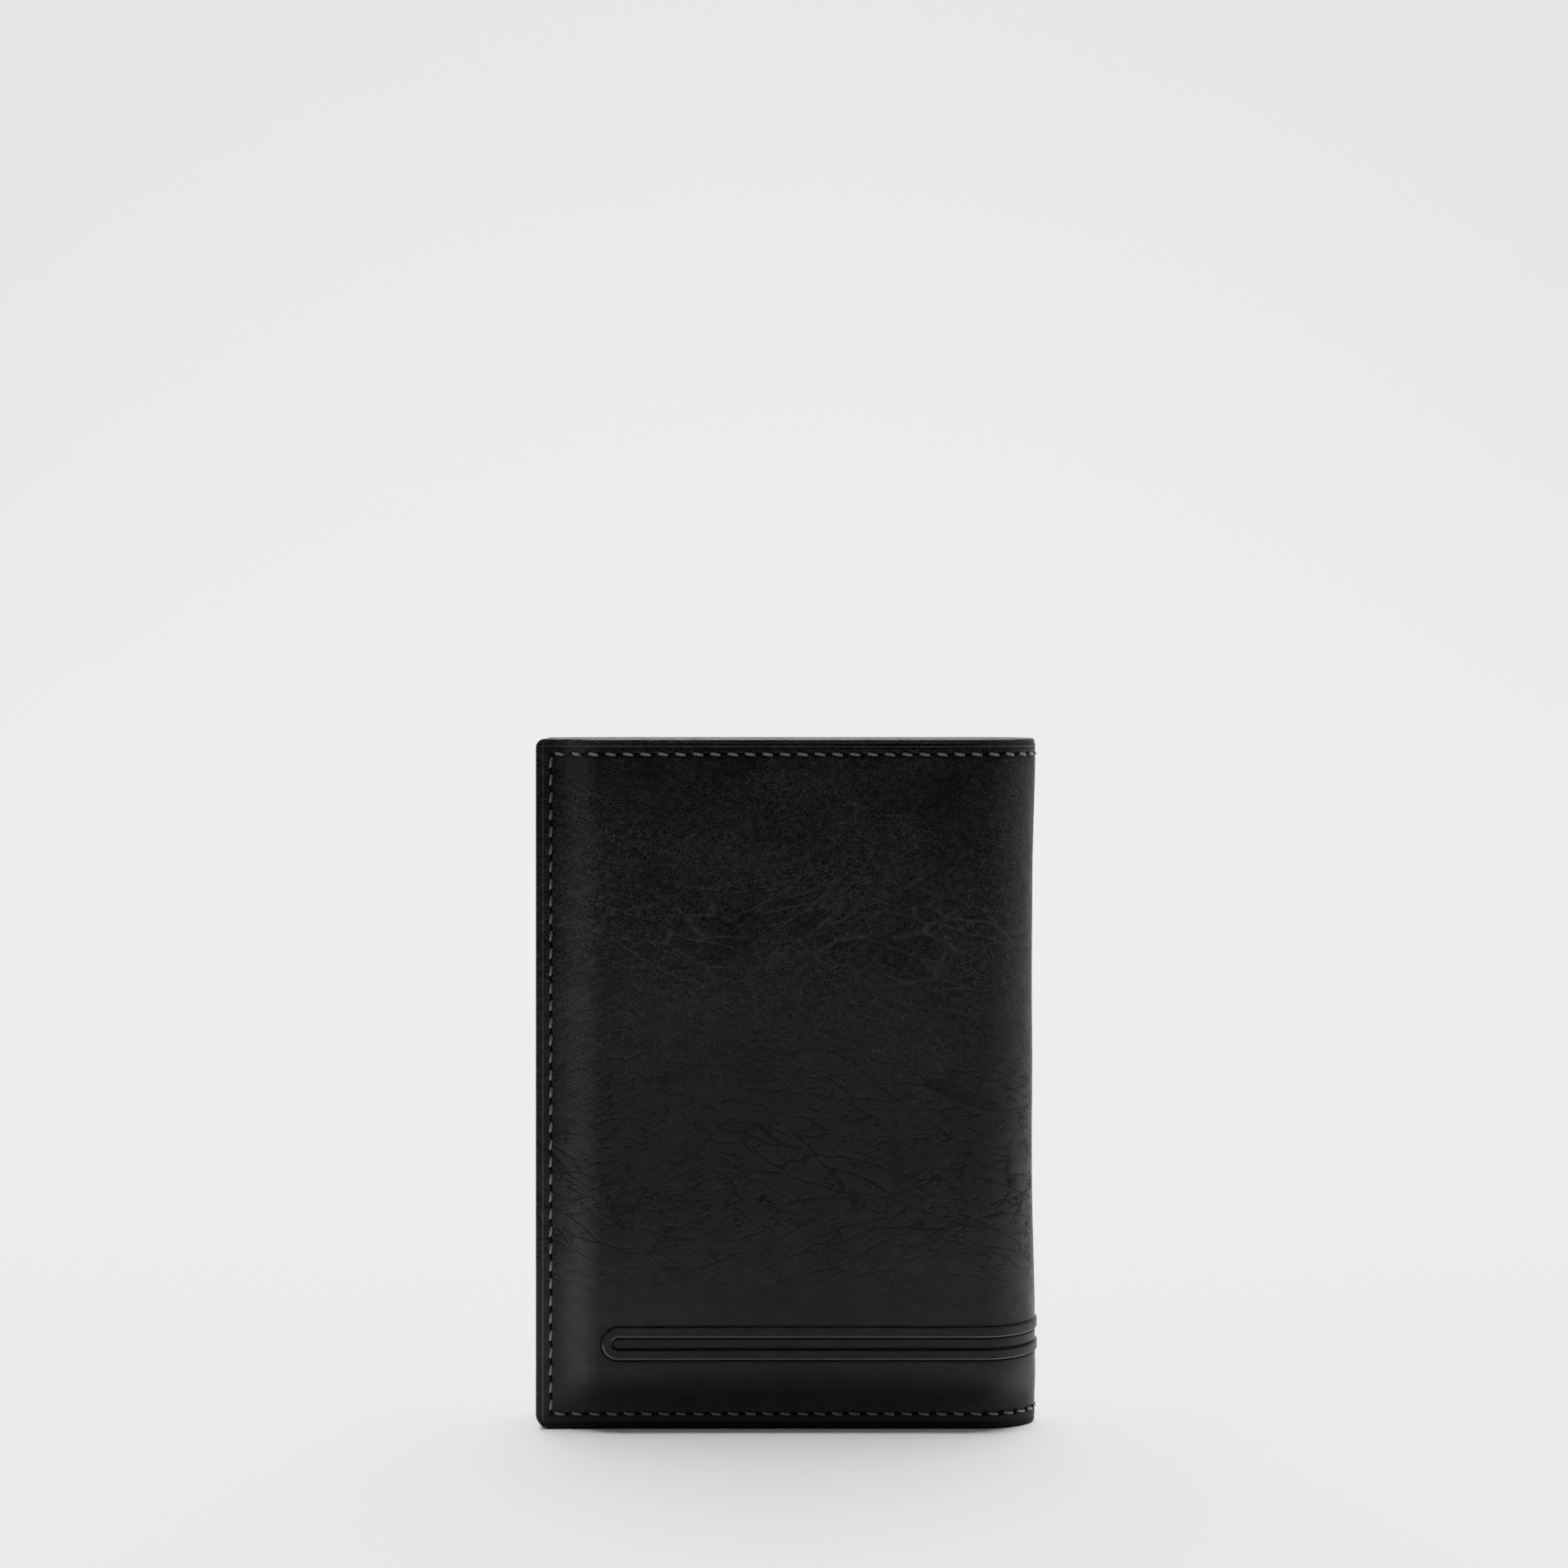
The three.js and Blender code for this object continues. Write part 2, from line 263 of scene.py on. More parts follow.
def grid_faces(rows, columns, closed):
    """Quads between rows of points; a closed row joins its last point to its first."""
    faces = []
    last = columns if closed else columns - 1
    for r in range(rows - 1):
        for c in range(last):
            n = (c + 1) % columns
            faces.append((r * columns + c, r * columns + n, (r + 1) * columns + n, (r + 1) * columns + c))
    return faces


def joined(parts):
    """One list of vertices, faces and texture coordinates from several."""
    vertices, faces, uvs = [], [], []
    for part_vertices, part_faces, part_uvs in parts:
        start = len(vertices)
        vertices.extend(part_vertices)
        faces.extend([tuple(i + start for i in f) for f in part_faces])
        uvs.extend(part_uvs)
    return vertices, faces, uvs


def section_profile(u, levels, outer, inner, rounding, relief):
    """One closed loop of (position, texture) points round a layer's section at u.

    outer and inner give the layer's depths at each height, and rounding is the radius of its
    top and bottom edges.
    """
    edge = U_END - abs(u)
    pinch = 1.0
    if edge < rounding:
        pinch = max(0.0, 1 - (1 - edge / rounding) ** 3) ** (1 / 3)
    middle = (outer[0] + inner[0]) / 2
    turns = np.radians([8, 25, 45, 65, 82, 98, 115, 135, 155, 172])
    rise = rounding * np.sin(turns) ** (2 / 3)
    across = rounding * np.sign(np.cos(turns)) * np.abs(np.cos(turns)) ** (2 / 3)
    top = levels[-1] + rise
    top_depth = outer[-1] - rounding + across
    foot = levels[0] - rise
    foot_depth = outer[0] - rounding - across
    z = np.concatenate([levels, top, levels[::-1], foot])
    depth = np.concatenate([outer, top_depth, inner[::-1], foot_depth])
    depth = middle + (depth - middle) * pinch
    if relief:
        count = len(levels)
        depth[:count] += surface_relief(np.full(count, u), levels) * pinch
    return place(u, z, depth), z


def layer_mesh(name, us, levels, outer, inner, rounding):
    """A layer of the wallet between the first and last u, as a mesh."""
    vertices, uvs = [], []
    for u in us:
        points, z = section_profile(u, levels, outer, inner, rounding, False)
        vertices.extend(points)
        uvs.extend(np.stack([np.full(len(z), u), z], axis=-1) * UV_SCALE)
    columns = len(vertices) // len(us)
    mesh = new_mesh(name, vertices, grid_faces(len(us), columns, True), uvs)
    merge_doubles(mesh)
    return mesh


def merge_doubles(mesh, distance=1e-7):
    work = bmesh.new()
    work.from_mesh(mesh)
    bmesh.ops.remove_doubles(work, verts=work.verts, dist=distance)
    bmesh.ops.recalc_face_normals(work, faces=work.faces)
    work.to_mesh(mesh)
    work.free()


def spine_places(from_angle, to_angle, count):
    """Places round a stretch of the spine, with a very short step at each end.

    The short steps give neighbouring stretches the same surface direction where they meet.
    """
    first = QUARTER * from_angle / 90
    last = QUARTER * to_angle / 90
    short = 0.02 * MM * np.sign(last - first)
    return np.concatenate([[first], np.linspace(first + short, last - short, count), [last]])


def blend_stretch(piece):
    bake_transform(piece)


# ---------------------------------------------------------------------------- covers and spine


def cover_levels():
    return spaced(
        EDGE_ROUND,
        HEIGHT - EDGE_ROUND,
        1.0 * MM,
        (CREASE_IN, 0.9 * MM, 0.1 * MM),
        (STITCH_BOTTOM, 1.0 * MM, 0.16 * MM),
        ((BAND_LOW + BAND_HIGH) / 2, 3.6 * MM, 0.25 * MM),
        *((edge, 0.45 * MM, 0.09 * MM) for edge in BAND_EDGES),
        (HEIGHT - STITCH_IN, 1.0 * MM, 0.16 * MM),
        (HEIGHT - CREASE_IN, 0.9 * MM, 0.1 * MM),
    )


def cover_places():
    """Distances in from the free edge, on the flat of a cover."""
    turns = np.radians([0, 4, 10, 18, 30, 45, 65, 90])
    rounded = EDGE_ROUND * (1 - np.cos(turns))
    rest = spaced(
        EDGE_ROUND,
        SPINE_X - FREE_EDGE,
        1.0 * MM,
        (CREASE_IN, 0.7 * MM, 0.1 * MM),
        (STITCH_IN, 1.0 * MM, 0.16 * MM),
        (BAND_START + 1.6 * MM, 2.1 * MM, 0.12 * MM),
    )
    return np.concatenate([rounded[:-1], rest[:-1], [rest[-1] - 0.02 * MM, rest[-1]]])


def cover_depths(levels, edge):
    """The outer and inner depths of the leather: thicker where its edges are turned in."""
    turned = OUTER - 2 * EDGE_ROUND
    middle = smoothstep(levels, BOARD_INSET - 0.4 * MM, BOARD_INSET)
    middle = middle * smoothstep(HEIGHT - levels, 4.4 * MM, 4.8 * MM)
    middle = middle * smoothstep(np.full(len(levels), edge), BOARD_INSET - 0.4 * MM, BOARD_INSET)
    return np.full(len(levels), OUTER), turned + (THIN_INNER - turned) * middle


def leather_mesh(name, us):
    levels = cover_levels()
    vertices, uvs, painted_highlight = [], [], []
    for u in us:
        outer, inner = cover_depths(levels, U_END - abs(u))
        points, z = section_profile(u, levels, outer, inner, EDGE_ROUND, True)
        vertices.extend(points)
        uvs.extend(np.stack([np.full(len(z), u), z], axis=-1) * UV_SCALE)
        # A painted highlight on the band's down-facing edges and beside the creases, kept for the
        # leather's colour.
        painted_highlight.extend(painted_highlight_share(np.full(len(levels), u), levels))
        painted_highlight.extend([0.0] * (len(z) - len(levels)))
    columns = len(vertices) // len(us)
    mesh = new_mesh(name, vertices, grid_faces(len(us), columns, True), uvs)
    mesh.attributes.new("painted_highlight", "FLOAT", "POINT").data.foreach_set("value", painted_highlight)
    merge_doubles(mesh)
    return mesh


def make_covers(material):
    for side, sign in (("back", 1), ("front", -1)):
        us = sign * (U_END - cover_places())
        cover = new_piece(f"{side}_cover", leather_mesh(f"{side}_cover", us), material)
        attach(cover, f"{side}_half")
        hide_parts(f"{side}_cover_leather")
    for stretch in SPINE_STRETCHES:
        us = spine_places(stretch[3], stretch[4], 14)
        name = f"spine_{stretch[0]}"
        piece = new_piece(name, leather_mesh(name, us), material)
        blend_stretch(piece)
        if stretch[0] != "d":
            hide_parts("spine_leather_" + str("abc".index(stretch[0]) + 1))


def make_linings(material):
    """The fabric lining of each half and of the spine."""
    low, high = 8.95 * MM, 9.15 * MM
    rounding = (high - low) / 2
    levels = spaced(rounding, HEIGHT - 1.4 * MM, 2.5 * MM, (8 * MM, 5 * MM, 1.0 * MM))
    outer = np.full(len(levels), high)
    inner = np.full(len(levels), low)
    for side, sign in (("back", 1), ("front", -1)):
        edges = spaced(0.2 * MM, SPINE_X - FREE_EDGE, 2.5 * MM, (8 * MM, 5 * MM, 1.0 * MM))
        edges = np.concatenate([edges[:-1], [edges[-1] - 0.02 * MM, edges[-1]]])
        name = f"{side}_lining"
        mesh = layer_mesh(name, sign * (U_END - edges), levels, outer, inner, rounding)
        piece = new_piece(name, mesh, material)
        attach(piece, f"{side}_half")
        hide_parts(f"{side}_bill_lining")
    for stretch in SPINE_STRETCHES:
        name = f"spine_lining_{stretch[0]}"
        us = spine_places(stretch[3], stretch[4], 8)
        mesh = layer_mesh(name, us, levels, outer, inner, rounding)
        piece = new_piece(name, mesh, material)
        blend_stretch(piece)
        if stretch[0] != "d":
            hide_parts("spine_lining_" + str("abc".index(stretch[0]) + 1))


def make_dividers(material):
    low, high = 8.62 * MM, 8.84 * MM
    rounding = (high - low) / 2
    levels = spaced(0.7 * MM, HEIGHT - 4.1 * MM, 2.5 * MM, (8 * MM, 5 * MM, 1.0 * MM))
    outer = np.full(len(levels), high)
    inner = np.full(len(levels), low)
    for side, sign in (("back", 1), ("front", -1)):
        edges = spaced(0.6 * MM, SPINE_X - FREE_EDGE - 0.5 * MM, 2.5 * MM, (8 * MM, 5 * MM, 1.0 * MM))
        name = f"{side}_divider"
        mesh = layer_mesh(name, sign * (U_END - edges), levels, outer, inner, rounding)
        piece = new_piece(name, mesh, material)
        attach(piece, f"{side}_half")
        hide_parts(f"{side}_bill_divider")


# ---------------------------------------------------------------------------- stitches


THREAD_RADIUS = 0.28 * MM
THREAD_LENGTH = 2.25 * MM
STITCH_SLANT = 0.16 * MM
NEEDLE_RADIUS = 0.46 * MM


def stitch_tube(at, along, across, outward, length=THREAD_LENGTH, radius=THREAD_RADIUS):
    """One stitch: a short twisted thread that rises from one needle hole and dives into the next."""
    steps, sides = 11, 8
    vertices, uvs = [], []
    for i in range(steps):
        t = i / (steps - 1)
        rise = math.sin(math.pi * t) ** 0.6
        centre = at + along * ((t - 0.5) * length) + across * ((0.5 - t) * 2 * STITCH_SLANT)
        centre = centre + outward * ((rise - 0.55) * radius * 1.5)
        taper = radius * (0.62 + 0.38 * rise)
        for j in range(sides):
            a = 2 * math.pi * j / sides
            ply = 1 + 0.14 * math.cos(2 * a - 7 * math.pi * t)
            vertices.append(centre + (across * math.cos(a) + outward * math.sin(a) * 0.85) * taper * ply)
            uvs.append((t * length * UV_SCALE, a * radius * UV_SCALE))
    faces = grid_faces(steps, sides, True)
    faces.append(tuple(range(sides))[::-1])
    faces.append(tuple(range((steps - 1) * sides, steps * sides)))
    return vertices, faces, uvs


def needle_hole(at, along, across, outward):
    """A low dark dent at a stitch's end."""
    sides = 10
    ring = [
        at + (along * math.cos(a) * 1.15 + across * math.sin(a)) * NEEDLE_RADIUS + outward * 0.02 * MM
        for a in (2 * math.pi * j / sides for j in range(sides))
    ]
    low = [at - outward * 0.1 * MM]
    high = [at + outward * 0.05 * MM]
    faces = [(j, (j + 1) % sides, sides + 1) for j in range(sides)]
    faces += [((j + 1) % sides, j, sides) for j in range(sides)]
    vertices = ring + low + high
    return vertices, faces, [(0.0, 0.0)] * len(vertices)


def cover_frame(u, z):
    """Position and directions (along u, along z, outward) on the outer surface."""
    depth = OUTER + float(surface_relief(np.array([u]), np.array([z]))[0])
    step = 0.05 * MM
    here = place(u, z, depth)
    along_u = Vector(place(u + step, z, depth) - place(u - step, z, depth)).normalized()
    along_z = Vector(place(u, z + step, depth) - place(u, z - step, depth)).normalized()
    outward = along_u.cross(along_z).normalized()
    if outward.dot(Vector((here[0] - SPINE_X if abs(u) < QUARTER else 0, here[1], 0))) < 0:
        outward = -outward
    return Vector(here), along_u, along_z, outward


def cover_stitch_runs():
    """Every stitch of the outer seam as (u, z, whether it runs along u)."""
    reach = U_END - STITCH_IN
    high = HEIGHT - STITCH_IN
    spots = []
    for z in (STITCH_BOTTOM, high):
        count = round(2 * reach / STITCH_PITCH)
        spots += [(-reach + 2 * reach * (i + 0.5) / count, z, True) for i in range(count)]
    for u in (-reach, reach):
        count = round((high - STITCH_BOTTOM) / STITCH_PITCH)
        span = high - STITCH_BOTTOM
        spots += [(u, STITCH_BOTTOM + span * (i + 0.5) / count, False) for i in range(count)]
    return spots


def stretch_of(u):
    """The spine stretch that holds u, or the side of the flat cover."""
    angle = 90 * u / QUARTER
    for stretch in SPINE_STRETCHES:
        if stretch[3] >= angle > stretch[4]:
            return stretch[0]
    return "back" if u > 0 else "front"


def make_cover_stitches(thread_material, hole_material):
    threads, holes = {}, {}
    for u, z, level in cover_stitch_runs():
        at, along_u, along_z, outward = cover_frame(u, z)
        along, across = (along_u, along_z) if level else (along_z, -along_u)
        part = stretch_of(u)
        threads.setdefault(part, []).append(stitch_tube(at, along, across, outward))
        for end in (-0.5, 0.5):
            hole_at = at + along * (end * (THREAD_LENGTH + 0.25 * MM)) - across * (end * 2 * STITCH_SLANT)
            holes.setdefault(part, []).append(needle_hole(hole_at, along, across, outward))
    for part in threads:
        thread = new_piece(
            f"seam_thread_{part}",
            new_mesh(f"seam_thread_{part}", *joined(threads[part])),
            thread_material,
        )
        dents = new_piece(
            f"needle_holes_{part}",
            new_mesh(f"needle_holes_{part}", *joined(holes[part])),
            hole_material,
        )
        for piece in (thread, dents):
            if part in ("back", "front"):
                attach(piece, f"{part}_half")
            else:
                blend_stretch(piece)
        if part in ("back", "front"):
            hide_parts(f"{part}_seam_thread")


# ---------------------------------------------------------------------------- inside


def rounded_outline(left, right, low, high, radii, steps=6):
    """Points anticlockwise round a rectangle; radii are for the corners low left, low right, high
    right and high left."""
    corners = (
        (left, low, 1, 1, 180),
        (right, low, -1, 1, 270),
        (right, high, -1, -1, 0),
        (left, high, 1, -1, 90),
    )
    points = []
    for (x, z, dx, dz, start), radius in zip(corners, radii):
        if radius <= 0:
            points.append((x, z))
            continue
        for i in range(steps + 1):
            a = math.radians(start + 90 * i / steps)
            points.append((x + dx * radius + radius * math.cos(a), z + dz * radius + radius * math.sin(a)))
    return points


def slab_mesh(name, outlines, near, far, bevel, texture_top):
    """A plate with softened edges, upright between y = near and y = far; later outlines are holes."""
    curve = bpy.data.curves.new(name, "CURVE")
    curve.dimensions = "2D"
    curve.fill_mode = "BOTH"
    curve.extrude = abs(far - near) / 2 - bevel
    curve.bevel_depth = bevel
    curve.bevel_resolution = 2
    curve.offset = -bevel
    for outline in outlines:
        spline = curve.splines.new("POLY")
        spline.points.add(len(outline) - 1)
        for point, (x, z) in zip(spline.points, outline):
            point.co = (x, z, 0, 1)
        spline.use_cyclic_u = True
    holder = bpy.data.objects.new(name, curve)
    bpy.context.scene.collection.objects.link(holder)
    bpy.context.view_layer.update()
    shaped = holder.evaluated_get(bpy.context.evaluated_depsgraph_get())
    mesh = bpy.data.meshes.new_from_object(shaped)
    bpy.data.objects.remove(holder)
    bpy.data.curves.remove(curve)
    points = np.empty(len(mesh.vertices) * 3, dtype=np.float32)
    mesh.vertices.foreach_get("co", points)
    points = points.reshape(-1, 3)
    upright = np.stack([points[:, 0], (near + far) / 2 - points[:, 2], points[:, 1]], axis=-1)
    mesh.vertices.foreach_set("co", upright.ravel())
    for old in list(mesh.uv_layers):
        mesh.uv_layers.remove(old)
    layer = mesh.uv_layers.new(name="surface")
    index = np.empty(len(mesh.loops), dtype=np.int32)
    mesh.loops.foreach_get("vertex_index", index)
    uv = np.stack([upright[:, 0], upright[:, 2] - texture_top], axis=-1) * UV_SCALE
    layer.data.foreach_set("uv", uv[index].astype(np.float32).ravel())
    mesh.polygons.foreach_set("use_smooth", [False] * len(mesh.polygons))
    mesh.materials.clear()
    merge_doubles(mesh)
    return mesh


def slab(name, outlines, near, far, material, body, replaced, bevel=0.12 * MM, top=0.0):
    mesh = slab_mesh(name, outlines, near, far, bevel, top)
    piece = new_piece(name, mesh, material)
    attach(piece, body)
    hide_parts(replaced)


def node_slab(node, name, material, body, radii, bevel=0.12 * MM):
    """A softened plate in a flat CAD plate's place; radii are its corners' from low left round."""
    low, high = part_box(node)
    outline = rounded_outline(low.x, high.x, low.z, high.z, radii)
    slab(name, [outline], low.y, high.y, material, body, node, bevel, high.z)


def bent_strip_mesh(name, path, thickness, low, high):
    """A thin upright strip that follows a path of (x, y) in plan, with rounded edges."""
    half = thickness / 2
    levels = np.linspace(low + half, high - half, 40)
    turns = np.radians([30, 60, 90, 120, 150])
    across = np.concatenate(
        [np.full(40, half), half * np.cos(turns), np.full(40, -half), -half * np.cos(turns)]
    )
    rise = half * np.sin(turns)
    z = np.concatenate([levels, levels[-1] + rise, levels[::-1], levels[0] - rise])
    path = np.array(path)
    ahead = np.gradient(path, axis=0)
    ahead /= np.linalg.norm(ahead, axis=1)[:, None]
    run = np.concatenate([[0], np.cumsum(np.linalg.norm(np.diff(path, axis=0), axis=1))])
    vertices, uvs = [], []
    for (x, y), (dx, dy), along in zip(path, ahead, run):
        vertices.extend(np.stack([x - dy * across, y + dx * across, z], axis=-1))
        uvs.extend(np.stack([np.full(len(z), along), z - high], axis=-1) * UV_SCALE)
    ring = len(z)
    faces = grid_faces(len(path), ring, True)
    faces.append(tuple(range(ring))[::-1])
    faces.append(tuple(range((len(path) - 1) * ring, len(path) * ring)))
    mesh = new_mesh(name, vertices, faces, uvs)
    merge_doubles(mesh)
    return mesh


def flat_stitches(name, spots, material, body):
    """Stitches on the flat inner faces, from (x, y, z, whether it runs upright, side) rows."""
    parts = []
    for x, y, z, upright, side in spots:
        outward = Vector((0, side, 0))
        along = Vector((0, 0, 1)) if upright else Vector((1, 0, 0))
        across = outward.cross(along)
        parts.append(stitch_tube(Vector((x, y, z)), along, across, outward, 2.2 * MM, 0.2 * MM))
    piece = new_piece(name, new_mesh(name, *joined(parts)), material)
    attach(piece, body)


def stitch_line(start, end, pitch=3.0 * MM):
    """Middles of the stitches between two places on a line."""
    count = max(1, round(abs(end - start) / pitch))
    return [start + (end - start) * (i + 0.5) / count for i in range(count)]


def make_pockets(leather, film, thread):
    """The inner panel, card pockets and welt of each half, with the seams that hold them."""
    for side, count in (("back", 4), ("front", 3)):
        for node in [f"{side}_inner_panel"] + [f"{side}_card_pocket_{i + 1}" for i in range(count)]:
            node_slab(node, f"{node}_leather", leather, f"{side}_half", PANEL_RADII)
        make_welt(side, leather)
        make_inner_seams(side, thread)
    make_window(leather, film)


def make_welt(side, leather):
    """The L-shaped strip that closes the bill space along the free edge and the bottom."""
    node = f"{side}_seam_welt"
    low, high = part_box(node)
    corner = rounded_outline(FREE_EDGE, SPINE_X, 0, high.z, (CORNER_BOTTOM, 0, 0, 0))[:-2]
    inner_corner = [
        (SPINE_X, WELT_WIDTH),
        (FREE_EDGE + WELT_WIDTH, WELT_WIDTH),
        (FREE_EDGE + WELT_WIDTH, high.z),
        (FREE_EDGE, high.z),
    ]
    outline = corner + inner_corner
    body = f"{side}_half"
    slab(f"{side}_welt", [outline], low.y, high.y, leather, body, node, 0.3 * MM)


def make_window(leather, film):
    """The front half's window pocket: a leather border over a clear pane."""
    low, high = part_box("front_window_frame")
    outline = rounded_outline(low.x, high.x, low.z, high.z, PANEL_RADII)
    hole = rounded_outline(
        low.x + 8.5 * MM, high.x - 6.5 * MM, 9 * MM, high.z - 9 * MM, (4 * MM,) * 4
    )
    slab(
        "front_window_border",
        [outline, hole],
        low.y,
        high.y,
        leather,
        "front_half",
        "front_window_frame",
        top=high.z,
    )
    node_slab(
        "front_window_pane",
        "front_window_film",
        film,
        "front_half",
        SMALL_RADII,
        FILM_BEVEL,
    )


def make_inner_seams(side, thread):
    """The seams that show on the inner face of a half: down the free edge, along the bottom, and
    down the pockets' inner ends."""
    sign = -1 if side == "back" else 1
    steps = [f"{side}_inner_panel"] + [
        f"{side}_card_pocket_{i + 1}" for i in range(4 if side == "back" else 3)
    ]
    if side == "front":
        steps.append("front_window_frame")
    tops = [(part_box(n)[1].z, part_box(n)) for n in steps]

    def face(z):
        showing = [box for top, box in tops if top > z + 1.2 * MM][-1]
        return showing[0].y if sign < 0 else showing[1].y

    left = FREE_EDGE + STITCH_IN
    right = INNER_END - 2.2 * MM
    spots = []
    for z in stitch_line(STITCH_BOTTOM, INNER_TOP - 2 * MM):
        spots.append((left, face(z), z, True, sign))
    for z in stitch_line(STITCH_BOTTOM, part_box(steps[1])[1].z - 1.5 * MM):
        spots.append((right, face(z), z, True, sign))
    for x in stitch_line(left, right):
        spots.append((x, face(STITCH_BOTTOM), STITCH_BOTTOM, False, sign))
    flat_stitches(f"{side}_inner_seam", spots, thread, f"{side}_half")


def make_leaf(leather, film, thread):
    """The leaf's two leather faces and clear pane, and the strips it hangs and turns on."""
    left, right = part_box("leaf_frame_back")[0].x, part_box("leaf_frame_back")[1].x
    low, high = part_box("leaf_frame_back")[0].z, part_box("leaf_frame_back")[1].z
    rim = rounded_outline(left, right, low, high, (4 * MM, 0.3 * MM, 0.3 * MM, 4 * MM))
    windows = [(low + 9 * MM, 58 * MM), (67 * MM, high - 9 * MM)]
    holes = [
        rounded_outline(left + 9 * MM, right - 9 * MM, bottom, top, (3 * MM,) * 4)
        for bottom, top in windows
    ]
    for face in ("back", "front"):
        node = f"leaf_frame_{face}"
        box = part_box(node)
        slab(
            f"leaf_{face}_leather",
            [rim, *holes],
            box[0].y,
            box[1].y,
            leather,
            "leaf",
            node,
            bevel=0.1 * MM,
            top=high,
        )
        sign = 1 if face == "back" else -1
        surface = box[1].y if sign > 0 else box[0].y
        spots = []
        for x in (left + 3 * MM, right - 3 * MM):
            spots += [(x, surface, z, True, sign) for z in stitch_line(low + 3 * MM, high - 3 * MM)]
        for z in (low + 3 * MM, high - 3 * MM):
            spots += [(x, surface, z, False, sign) for x in stitch_line(left + 4 * MM, right - 4 * MM)]
        flat_stitches(f"leaf_{face}_seam", spots, thread, "leaf")
    node_slab("leaf_window_pane", "leaf_film", film, "leaf", SMALL_RADII, FILM_BEVEL)
    node_slab(
        "leaf_hinge_strip",
        "leaf_hinge_leather",
        leather,
        "leaf",
        SMALL_RADII,
        FILM_BEVEL,
    )
    make_leaf_mount(leather)


def make_leaf_mount(leather):
    """The strip that runs from the back inner panel's end round to the leaf's hinge line."""
    low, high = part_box("leaf_mount_strip")
    half = MOUNT_THICK / 2
    bend = 0.9 * MM
    corner = (high.x - half - bend, high.y - half - bend)
    path = [(low.x, high.y - half), (corner[0] - 0.2 * MM, high.y - half)]
    path += [
        (corner[0] + bend * math.sin(a), corner[1] + bend * math.cos(a))
        for a in (math.radians(15 * i) for i in range(7))
    ]
    path += [(high.x - half, corner[1] * share) for share in (0.75, 0.5, 0.25, 0)]
    mesh = bent_strip_mesh("leaf_mount", path, MOUNT_THICK, low.z, high.z)
    piece = new_piece("leaf_mount", mesh, leather)
    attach(piece, "back_half")
    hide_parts("leaf_mount_strip")


# ---------------------------------------------------------------------------- materials


class Nodes:
    """Short forms for building a material's node tree."""

    def __init__(self, name):
        self.material = bpy.data.materials.new(name)
        self.material.use_nodes = True
        self.tree = self.material.node_tree
        self.shader = self.tree.nodes["Principled BSDF"]

    def add(self, kind, inputs=None, **settings):
        node = self.tree.nodes.new(f"ShaderNode{kind}")
        for key, value in settings.items():
            setattr(node, key, value)
        for key, value in (inputs or {}).items():
            if isinstance(value, bpy.types.NodeSocket):
                self.tree.links.new(value, node.inputs[key])
            else:
                node.inputs[key].default_value = value
        return node

    def surface_place(self):
        return self.add("UVMap", uv_map="surface").outputs["UV"]

    def math(self, operation, first, second=0.5, clamp=False):
        return self.add("Math", {0: first, 1: second}, operation=operation, use_clamp=clamp).outputs[0]

    def between(self, value, low, high, to_low=0.0, to_high=1.0):
        made = self.add(
            "MapRange",
            {"Value": value, "From Min": low, "From Max": high, "To Min": to_low, "To Max": to_high},
        )
        return made.outputs["Result"]

    def noise(self, vector, scale, detail=3.0, roughness=0.5, **settings):
        inputs = {"Vector": vector, "Scale": scale, "Detail": detail, "Roughness": roughness}
        return self.add("TexNoise", inputs, **settings).outputs["Fac"]

    def stretched(self, vector, scale, turn):
        """Turned, then scaled, so that a pattern runs long across the turned direction."""
        turned = self.add("Mapping", {"Vector": vector, "Rotation": (0.0, 0.0, turn)}).outputs["Vector"]
        return self.add("Mapping", {"Vector": turned, "Scale": scale}).outputs["Vector"]

    def long_lines(self, vector, scale, turn, width):
        """Thin lines that run mostly along one direction and join at narrow angles."""
        return self.crease_lines(self.stretched(vector, scale, turn), 1.0, width)

    def bump(self, height, strength, distance, normal=None):
        inputs = {"Height": height, "Strength": strength, "Distance": distance}
        if normal is not None:
            inputs["Normal"] = normal
        return self.add("Bump", inputs).outputs["Normal"]

    def warped(self, vector, scale, amount):
        """The vector moved about by a noise."""
        inputs = {"Vector": vector, "Scale": scale, "Detail": 2.0}
        drift = self.add("TexNoise", inputs).outputs["Color"]
        shift = self.add("VectorMath", {0: drift, "Scale": amount}, operation="SCALE").outputs[0]
        return self.add("VectorMath", {0: vector, 1: shift}, operation="ADD").outputs[0]

    def crease_lines(self, vector, scale, width):
        """1 on the lines between cells, falling to 0 within width of them."""
        cells = self.add("TexVoronoi", {"Vector": vector, "Scale": scale}, feature="DISTANCE_TO_EDGE")
        return self.between(cells.outputs["Distance"], 0.0, width, 1.0, 0.0)

    def mixed(self, factor, first, second):
        """A colour between two colours or sockets."""
        node = self.tree.nodes.new("ShaderNodeMix")
        node.data_type = "RGBA"
        for key, value in ((0, factor), (6, first), (7, second)):
            if isinstance(value, bpy.types.NodeSocket):
                self.tree.links.new(value, node.inputs[key])
            else:
                node.inputs[key].default_value = (*value, 1.0) if key else value
        return node.outputs[2]

    def link(self, socket, name):
        self.tree.links.new(socket, self.shader.inputs[name])


